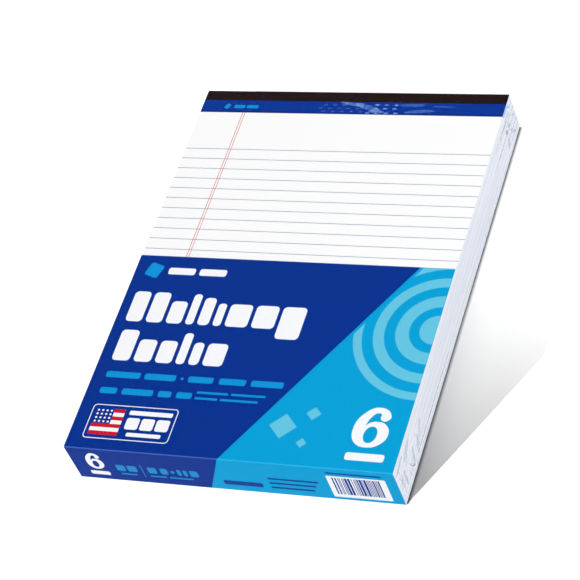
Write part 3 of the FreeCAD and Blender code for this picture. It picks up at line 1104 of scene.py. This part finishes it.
# The camera, as fitted to the pack's corners
CAMERA_AT = Vector((0.568098, -0.822618, 1.079430))
CAMERA_FORWARD = Vector((-0.39303, 0.55952, -0.72970))
CAMERA_DOWN = Vector((0.04584, -0.78065, -0.62328))
CAMERA_LENS = 142.28
CAMERA_SENSOR = 36


def make_floor():
    """A pale floor. The lit floor shows as white, and a painted glow fades the shadow on it along the pack.

    A thin dark line, a painted contact shadow, stays where the pack's right side meets it.
    """
    bpy.ops.mesh.primitive_plane_add(size=FLOOR_SIZE, location=(0, 0, 0))
    floor = bpy.context.object
    floor.name = "floor"
    material, nodes, links, shader = new_material("floor", roughness=1, specular=0)
    floor.data.materials.append(material)
    place = nodes.new("ShaderNodeTexCoord")
    split = nodes.new("ShaderNodeSeparateXYZ")
    path = nodes.new("ShaderNodeLightPath")
    seen = path.outputs["Is Camera Ray"]
    links.new(place.outputs["Object"], split.inputs["Vector"])
    across, along = split.outputs["X"], split.outputs["Y"]

    from_side = step_between(nodes, links, across, RIGHT - CONTACT_SOFT, RIGHT, 0, 1)
    near_side = step_between(nodes, links, across, RIGHT + CONTACT_FADE, RIGHT + CONTACT_END, 1, 0)
    from_foot = step_between(nodes, links, along, CARD_FRONT, CARD_FRONT + CONTACT_SOFT, 0, 1)
    to_head = step_between(nodes, links, along, HEAD, HEAD + CONTACT_SOFT, 1, 0)
    contact_shadow = combined(nodes, links, "MULTIPLY", from_side, near_side, from_foot, to_head)
    weaker = step_between(nodes, links, along, CARD_FRONT, 0, 1, CONTACT_WEAK)
    painted_contact_shadow = combined(nodes, links, "MULTIPLY", contact_shadow, weaker)
    # Painted contact shadow: the floor's grey darkened along the pack's right side
    shown = mixed(nodes, links, painted_contact_shadow, FLOOR_SEEN, CONTACT_SHADOW_COLOUR)
    unseen = mixed(nodes, links, path.outputs["Is Glossy Ray"], FLOOR_UNSEEN, FLOOR_SEEN)
    links.new(mixed(nodes, links, seen, unseen, shown), shader.inputs["Base Color"])

    away = nodes.new("ShaderNodeMath")
    away.operation = "MULTIPLY_ADD"
    away.inputs[1].default_value = GLOW_LEAN
    links.new(across, away.inputs[0])
    links.new(along, away.inputs[2])
    glow = step_between(nodes, links, away.outputs[0], GLOW_FIRST, GLOW_LAST, 0, GLOW_FULL)
    clear = step_between(nodes, links, contact_shadow, 0, 1, 1, 0)
    shader.inputs["Emission Color"].default_value = (1, 1, 1, 1)
    links.new(combined(nodes, links, "MULTIPLY", glow, clear, seen), shader.inputs["Emission Strength"])
    return floor


def make_world():
    """White for the camera, for gloss and through glass, and an even soft light for the rest."""
    world = bpy.data.worlds.new("studio")
    bpy.context.scene.world = world
    world.use_nodes = True
    nodes = world.node_tree.nodes
    links = world.node_tree.links
    background = nodes["Background"]
    background.inputs["Color"].default_value = (1, 1, 1, 1)
    path = nodes.new("ShaderNodeLightPath")
    rays = [path.outputs[f"Is {kind} Ray"] for kind in ("Camera", "Glossy", "Transmission")]
    seen = combined(nodes, links, "MAXIMUM", *rays)
    level = step_between(nodes, links, seen, 0, 1, WORLD_LIGHT, WORLD_SHOWN)
    links.new(level, background.inputs["Strength"])


def aim(lamp, place, target):
    """Puts a lamp in its place and turns it to a target."""
    lamp.location = place
    lamp.rotation_euler = (Vector(target) - Vector(place)).to_track_quat("-Z", "Y").to_euler()


def area_lamp(name, place, target, size, power):
    """A square soft lamp."""
    data = bpy.data.lights.new(name, "AREA")
    data.shape = "SQUARE"
    data.size = size
    data.energy = power
    lamp = bpy.data.objects.new(name, data)
    bpy.context.scene.collection.objects.link(lamp)
    aim(lamp, place, target)
    return lamp


def sun_lamp(name, travel, strength, spread):
    """Even light that travels in one direction."""
    data = bpy.data.lights.new(name, "SUN")
    data.energy = strength
    data.angle = math.radians(spread)
    lamp = bpy.data.objects.new(name, data)
    bpy.context.scene.collection.objects.link(lamp)
    aim(lamp, -Vector(travel).normalized() * SUN_DISTANCE, (0, 0, 0))
    return lamp


def linked_to(lamp, floor, state):
    """Lets a lamp light only the floor, or everything but the floor."""
    lit = bpy.data.collections.new(lamp.name + "_lights")
    lit.objects.link(floor)
    lamp.light_linking.receiver_collection = lit
    lit.collection_objects[0].light_linking.link_state = state


def make_lamps(floor):
    """Soft light on the pack, and a low sun that lights the floor alone and throws the long shadow."""
    sun_lamp("overhead", **OVERHEAD)
    linked_to(area_lamp("right_side", **RIGHT_SIDE), floor, "EXCLUDE")
    linked_to(area_lamp("foot_end", **FOOT_END), floor, "EXCLUDE")
    linked_to(sun_lamp("low_sun", **LOW_SUN), floor, "INCLUDE")


def make_camera():
    """The camera at the photograph's angle."""
    data = bpy.data.cameras.new("camera")
    data.lens = CAMERA_LENS
    data.sensor_width = CAMERA_SENSOR
    camera = bpy.data.objects.new("camera", data)
    bpy.context.scene.collection.objects.link(camera)
    right = CAMERA_DOWN.cross(CAMERA_FORWARD).normalized()
    up = -CAMERA_DOWN.normalized()
    back = -CAMERA_FORWARD.normalized()
    turn = Matrix((right, up, back)).transposed().to_4x4()
    camera.matrix_world = Matrix.Translation(CAMERA_AT) @ turn
    bpy.context.scene.camera = camera


bpy.context.scene.view_settings.view_transform = "Standard"
deselect()
dress("sheets", paper_material())
dress("backing", board_material())
dress("staples", wire_material())
make_tapes()
make_band_mark()
make_rulings()
make_card()
make_card_print()
make_foot_print()
make_film()
make_side_puckers()
make_band_puckers()
make_vent_rims()
make_world()
make_lamps(make_floor())
make_camera()
